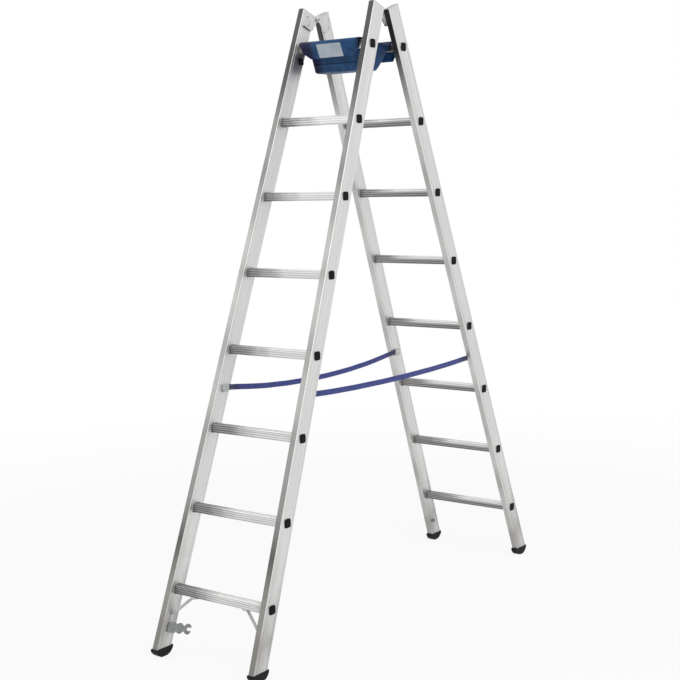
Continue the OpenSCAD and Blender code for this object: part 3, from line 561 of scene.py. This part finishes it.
for end_name, end in (("front", -1), ("rear", 1)):
    rungs = [n for n in nodes if n.startswith(end_name + "_rung_")]
    dress(rungs, rung_finish("extruded_aluminium_" + end_name + "_rungs", end))
print("rungs dressed")

# %% [markdown]
# The other solids get the finish of their own making. Casting and pressing leave aluminium with a fine, even grain,
# zinc plating makes steel cool grey and cloudy, black oxide makes it dark with a dull shine, and a mould gives
# plastic a low sheen. Each could have its own node tree, but none is one flat colour and they differ only in
# colour, grain and shine, so one function makes them all from the size of the grain.

# %% Cast, plated and moulded finishes
GRAIN_DEPTH = 0.1 * MM
GRAINS_IN_CLOUD = 22


def grained(name, low, high, grain, rough, bump, metallic=0, shine=0.5):
    """A surface with grain of a real size: two close colours, two roughnesses and a fine relief."""
    finish, tree = new_finish(name)
    place = add(tree, "TexCoord").outputs["Object"]
    fine = add(tree, "TexNoise", {"Vector": place, "Scale": 1 / grain, "Detail": 2}).outputs["Fac"]
    cloud = GRAINS_IN_CLOUD * grain
    broad = add(tree, "TexNoise", {"Vector": place, "Scale": 1 / cloud, "Detail": 3}).outputs["Fac"]
    colour = add(tree, "ValToRGB", {"Fac": broad}, [(TONE_LOW, low), (TONE_HIGH, high)]).outputs["Color"]
    dull = add(tree, "MapRange", {"Value": broad, "From Min": NOISE_LOW, "From Max": NOISE_HIGH,
                                  "To Min": rough[0], "To Max": rough[1]}).outputs["Result"]
    relief = add(tree, "Bump", {"Height": fine, "Strength": bump, "Distance": GRAIN_DEPTH}).outputs["Normal"]
    shader = add(tree, "BsdfPrincipled", {"Base Color": colour, "Roughness": dull, "Normal": relief,
                                          "Metallic": metallic, "Specular IOR Level": shine})
    add(tree, "OutputMaterial", {"Surface": shader.outputs["BSDF"]})
    return finish


cast_aluminium = grained("die_cast_aluminium", "#c6c7c7", "#d6d6d5", 1.2 * MM, (0.4, 0.55), 0.25, 1)
pressed_aluminium = grained("pressed_aluminium", "#a9aaab", "#c6c6c6", 1.5 * MM, (0.38, 0.52), 0.2, 1)
zinc_steel = grained("zinc_plated_steel", "#a7a9a8", "#c2c3c0", 0.8 * MM, (0.3, 0.45), 0.1, 1)
dull_zinc = grained("dulled_zinc_plated_steel", "#7d7f80", "#9b9d9c", 0.8 * MM, (0.42, 0.58), 0.15, 1)
black_steel = grained("black_oxide_steel", "#1b1b1d", "#2c2c2e", 0.8 * MM, (0.4, 0.55), 0.1, 1)
black_mould = grained("moulded_black_polypropylene", "#050506", "#0c0c0e", 0.6 * MM, (0.5, 0.65), 0.2, shine=0.12)
grey_mould = grained("moulded_grey_polypropylene", "#b4b6b8", "#c6c7c8", 0.6 * MM, (0.42, 0.55), 0.15)
plate_film = grained("satin_polyester_film", "#a9b4c0", "#bcc5ce", 2 * MM, (0.32, 0.44), 0.06)
print("grained finishes made")

# %% Dress the small pieces
PLATED = ("hinge_rivets", "strap_rivets", "brace_rivets", "hinge_pin", "strap_clip")

dress([n for n in nodes if n.endswith("hinge_plate")], cast_aluminium)
dress(["left_rung_brace", "right_rung_brace"], pressed_aluminium)
dress([n for n in nodes if n.endswith(PLATED)], zinc_steel)
dress(["transport_catch", "catch_rivets", "keeper_stud"], dull_zinc)
dress(["tray_guide_rivets"], black_steel)
dress([n for n in nodes if n.endswith(("rung_caps", "tray_guide"))], black_mould)
dress(["front_top_covers", "rear_top_covers"], grey_mould)
plate.data.materials.append(plate_film)
print("small pieces dressed")

# %% [markdown]
# The feet are black rubber, and the first thing that shows on black rubber is floor dust. It gathers low down and
# in patches. The lowest faces could have a paler material, but dust has no edge, so the height above the floor and
# a noise decide together where the black turns grey.

# %% Rubber feet
DUST_TOP = 26 * MM
DUST_PATCH = 14 * MM
DUST_FROM, DUST_FULL = 0.15, 0.7
RUBBER_GRAIN, RUBBER_BUMP = 0.9 * MM, 0.3
RUBBER_ROUGH = (0.58, 0.85)
RUBBER_SHINE = 0.2


def dusty_rubber(name):
    """Moulded black rubber with a fine grain, dusty towards the floor."""
    finish, tree = new_finish(name)
    place = add(tree, "TexCoord").outputs["Object"]
    fine = add(tree, "TexNoise", {"Vector": place, "Scale": 1 / RUBBER_GRAIN, "Detail": 2}).outputs["Fac"]
    patch = add(tree, "TexNoise", {"Vector": place, "Scale": 1 / DUST_PATCH, "Detail": 4}).outputs["Fac"]
    height = add(tree, "SeparateXYZ", {"Vector": place}).outputs["Z"]
    low = add(tree, "MapRange", {"Value": height, "From Min": DUST_TOP, "From Max": 0}).outputs["Result"]
    dust = add(tree, "Math", {0: low, 1: patch}, operation="MULTIPLY").outputs[0]
    dust_stops = [(DUST_FROM, "#08080a"), (DUST_FULL, "#2c2b29")]
    colour = add(tree, "ValToRGB", {"Fac": dust}, dust_stops).outputs["Color"]
    rough = add(tree, "MapRange", {"Value": dust, "To Min": RUBBER_ROUGH[0],
                                   "To Max": RUBBER_ROUGH[1]}).outputs["Result"]
    relief = add(tree, "Bump", {"Height": fine, "Strength": RUBBER_BUMP, "Distance": GRAIN_DEPTH}).outputs["Normal"]
    shader = add(tree, "BsdfPrincipled", {"Base Color": colour, "Roughness": rough, "Normal": relief,
                                          "Specular IOR Level": RUBBER_SHINE})
    add(tree, "OutputMaterial", {"Surface": shader.outputs["BSDF"]})
    return finish


dress([n for n in nodes if n.endswith("_foot")], dusty_rubber("moulded_black_rubber"))
print("feet dressed")

# %% [markdown]
# The tray's polypropylene is dyed deep blue, and a satin mould texture gives it a soft shine. In the photograph it
# is paler and greener round the plate and for a way to its right, and navy at both ends. Here the navy ends are the
# dye with painted shade, and the paler middle the dye with painted light. Two materials would meet in a line, so one
# material blends the two blues along the tray. Clouds of wear lie over both, as hands and tools leave them.

# %% Tray finish
TEAL_X = 22 * MM
TEAL_HALF, NAVY_HALF = 80 * MM, 119 * MM
TRAY_GRAIN, TRAY_BUMP = 1 * MM, 0.15
TRAY_CLOUD = 24 * MM
TRAY_ROUGH = (0.34, 0.5)
TRAY_SHINE = 0.2


def tray_finish(name):
    """Satin blue polypropylene with rubbed clouds; painted shade at the deep ends, painted light round the plate."""
    finish, tree = new_finish(name)
    place = add(tree, "TexCoord").outputs["Object"]
    grain = add(tree, "TexNoise", {"Vector": place, "Scale": 1 / TRAY_GRAIN, "Detail": 2}).outputs["Fac"]
    clouds = add(tree, "TexNoise", {"Vector": place, "Scale": 1 / TRAY_CLOUD, "Detail": 4}).outputs["Fac"]
    along = add(tree, "SeparateXYZ", {"Vector": place}).outputs["X"]
    aside = add(tree, "Math", {0: along, 1: TEAL_X}, operation="SUBTRACT").outputs[0]
    from_teal = add(tree, "Math", {0: aside}, operation="ABSOLUTE").outputs[0]
    # The dye's blue with painted shade towards both ends and painted light round the middle.
    navy_and_shade = add(tree, "MapRange", {"Value": from_teal, "From Min": TEAL_HALF, "From Max": NAVY_HALF},
               interpolation_type="SMOOTHSTEP").outputs["Result"]
    teal_stops = [(TONE_LOW, "#1f4269"), (TONE_HIGH, "#2a5685")]
    navy_stops = [(TONE_LOW, "#070d2e"), (TONE_HIGH, "#0d1745")]
    middle = add(tree, "ValToRGB", {"Fac": clouds}, teal_stops).outputs["Color"]
    ends = add(tree, "ValToRGB", {"Fac": clouds}, navy_stops).outputs["Color"]
    colour = add(tree, "Mix", {0: navy_and_shade, 6: middle, 7: ends}, data_type="RGBA").outputs[2]
    rough = add(tree, "MapRange", {"Value": clouds, "From Min": NOISE_LOW, "From Max": NOISE_HIGH,
                                   "To Min": TRAY_ROUGH[0], "To Max": TRAY_ROUGH[1]}).outputs["Result"]
    relief = add(tree, "Bump", {"Height": grain, "Strength": TRAY_BUMP, "Distance": GRAIN_DEPTH}).outputs["Normal"]
    shader = add(tree, "BsdfPrincipled", {"Base Color": colour, "Roughness": rough, "Normal": relief,
                                          "Specular IOR Level": TRAY_SHINE})
    add(tree, "OutputMaterial", {"Surface": shader.outputs["BSDF"]})
    return finish


tray.data.materials.append(tray_finish("moulded_blue_polypropylene"))
print("tray dressed")

# %% [markdown]
# Webbing is woven from thick polyester yarn: ribs across, a dense selvedge at each edge, and rows of stitches
# where the end is folded back. Modelled yarn would take far too many faces, so the material draws it on the map,
# which gives the distance from the nearer end and the distance across, in metres, so that ribs and stitches keep
# their size. Real ribs of 1.2 mm and stitches of 0.6 mm are too fine to show, so they are drawn at 3 mm and 1.4 mm.
# In the photograph the blue is deeper near the clips.

# %% Woven webbing
YARN_RIB = 3 * MM
YARN_CLOUD, YARN_SHADE = 25 * MM, 0.22
DEEP_TO, PALE_FROM = 20 * MM, 110 * MM
STITCH, STITCH_SHARE = 6 * MM, 0.65
STITCH_ROW = 6 * MM
STITCH_WIDE, STITCH_HEIGHT = 1.4 * MM, 1.5
SEAM_END = STRAP_HEM - 4 * MM
WEBBING_ROUGH, WEBBING_SHEEN = 0.72, 0.25
WEBBING_BUMP, WEBBING_DEPTH = 0.5, 0.3 * MM


def woven_webbing(name):
    """Flat polyester webbing: diagonal ribs, a fold-back sewn with pale thread."""
    finish, tree = new_finish(name)
    weave = add(tree, "UVMap", uv_map="weave").outputs["UV"]
    along, across, _ = add(tree, "SeparateXYZ", {"Vector": weave}).outputs
    ribs = add(tree, "Math", {0: along, 1: 2 * math.pi / YARN_RIB}, operation="MULTIPLY").outputs[0]
    lanes = add(tree, "Math", {0: across, 1: math.pi / YARN_RIB, 2: ribs}, operation="MULTIPLY_ADD").outputs[0]
    height = add(tree, "Math", {0: lanes}, operation="SINE").outputs[0]
    yarn = add(tree, "TexNoise", {"Vector": weave, "Scale": 1 / YARN_CLOUD, "Detail": 4}).outputs["Fac"]
    ribbed = add(tree, "Math", {0: height, 1: YARN_SHADE, 2: yarn}, operation="MULTIPLY_ADD").outputs[0]
    pale_stops = [(WIDE_LOW, "#172264"), (WIDE_HIGH, "#2c3f98")]
    deep_stops = [(WIDE_LOW, "#080b24"), (WIDE_HIGH, "#131b4a")]
    pale = add(tree, "ValToRGB", {"Fac": ribbed}, pale_stops).outputs["Color"]
    deep = add(tree, "ValToRGB", {"Fac": ribbed}, deep_stops).outputs["Color"]
    out = add(tree, "MapRange", {"Value": along, "From Min": DEEP_TO, "From Max": PALE_FROM},
              interpolation_type="SMOOTHSTEP").outputs["Result"]
    dyed = add(tree, "Mix", {0: out, 6: deep, 7: pale}, data_type="RGBA").outputs[2]

    from_middle = add(tree, "Math", {0: across}, operation="ABSOLUTE").outputs[0]
    row = add(tree, "Math", {0: from_middle, 1: STITCH_ROW, 2: STITCH_WIDE / 2}, operation="COMPARE").outputs[0]
    step = add(tree, "Math", {0: along, 1: STITCH}, operation="MODULO").outputs[0]
    dash = add(tree, "Math", {0: step, 1: STITCH_SHARE * STITCH}, operation="LESS_THAN").outputs[0]
    seam = add(tree, "Math", {0: along, 1: SEAM_END}, operation="LESS_THAN").outputs[0]
    dashes = add(tree, "Math", {0: row, 1: dash}, operation="MULTIPLY").outputs[0]
    sewn = add(tree, "Math", {0: dashes, 1: seam}, operation="MULTIPLY").outputs[0]
    colour = add(tree, "Mix", {0: sewn, 6: dyed, 7: linear("#8f9cd0")}, data_type="RGBA").outputs[2]
    raised = add(tree, "Math", {0: sewn, 1: STITCH_HEIGHT, 2: height}, operation="MULTIPLY_ADD").outputs[0]
    relief = add(tree, "Bump", {"Height": raised, "Strength": WEBBING_BUMP,
                                "Distance": WEBBING_DEPTH}).outputs["Normal"]
    shader = add(tree, "BsdfPrincipled", {"Base Color": colour, "Roughness": WEBBING_ROUGH, "Normal": relief,
                                          "Sheen Weight": WEBBING_SHEEN})
    add(tree, "OutputMaterial", {"Surface": shader.outputs["BSDF"]})
    return finish


webbing_finish = woven_webbing("woven_blue_polyester")
for strap in straps:
    strap.data.materials.append(webbing_finish)
print("straps dressed:", len(straps))

# %% [markdown]
# The studio: a pale paper floor that fades into a white surround, a large soft lamp high on the right and a weaker
# one on the left. Eyes and mirrors see the surround and the paper at full white, and other light comes at half
# of that, so the white behind the ladder doesn't wash out its colours. Close to the ladder the paper still takes a
# faint shadow.

# %% Floor
WHITE = (1, 1, 1, 1)
PAPER_RADIUS, PAPER_SIDES = 9, 64
FADE_FROM, FADE_TO = 1.4, 4.5
GLOW_NEAR = 0.88


def seen_directly(tree):
    """1 for what the camera, a mirror or glass looks at, 0 for light that only falls on something."""
    rays = add(tree, "LightPath").outputs
    seen = add(tree, "Math", {0: rays["Is Camera Ray"], 1: rays["Is Glossy Ray"]}, operation="MAXIMUM").outputs[0]
    return add(tree, "Math", {0: seen, 1: rays["Is Transmission Ray"]}, operation="MAXIMUM").outputs[0]


bpy.ops.object.select_all(action="DESELECT")
bpy.ops.mesh.primitive_circle_add(vertices=PAPER_SIDES, radius=PAPER_RADIUS, fill_type="NGON", location=(0, 0, 0))
floor = bpy.context.object
floor.name = "studio_floor"
floor_finish, tree = new_finish("studio_paper")
place = add(tree, "TexCoord").outputs["Object"]
away = add(tree, "VectorMath", {0: place}, operation="LENGTH").outputs["Value"]
fade = add(tree, "MapRange", {"Value": away, "From Min": FADE_FROM, "From Max": FADE_TO, "To Min": GLOW_NEAR},
           interpolation_type="SMOOTHSTEP").outputs["Result"]
share = add(tree, "Math", {0: seen_directly(tree), 1: fade}, operation="MULTIPLY").outputs[0]
paper = add(tree, "BsdfDiffuse", {"Color": linear("#f2f2f2")}).outputs[0]
glow = add(tree, "Emission", {"Color": WHITE, "Strength": 1}).outputs[0]
both = add(tree, "MixShader", {0: share, 1: paper, 2: glow}).outputs[0]
add(tree, "OutputMaterial", {"Surface": both})
floor.data.materials.append(floor_finish)
print("floor:", floor.name)

# %% Surround
LIGHT_SHARE = 0.5

world = bpy.data.worlds.new("studio_surround")
bpy.context.scene.world = world
world.use_nodes = True
tree = world.node_tree
tree.nodes.clear()
strength = add(tree, "MapRange", {"Value": seen_directly(tree), "To Min": LIGHT_SHARE}).outputs["Result"]
surround = add(tree, "Background", {"Color": WHITE, "Strength": strength}).outputs[0]
add(tree, "OutputWorld", {"Surface": surround})
print("surround:", world.name)

# %% Lamps
LADDER_MIDDLE = Vector((0, 0, 1.1))


def soft_lamp(name, place, size, power):
    """A square soft box that looks at the middle of the ladder."""
    data = bpy.data.lights.new(name, "AREA")
    data.size = size
    data.energy = power
    lamp = bpy.data.objects.new(name, data)
    bpy.context.scene.collection.objects.link(lamp)
    lamp.location = place
    lamp.rotation_euler = (LADDER_MIDDLE - Vector(place)).to_track_quat("-Z", "Y").to_euler()
    print("lamp:", name, power, "W")


soft_lamp("key_lamp", (4.4, -1.4, 4.2), 6.0, 150)
soft_lamp("fill_lamp", (-3.8, -2.6, 3.8), 5.0, 50)
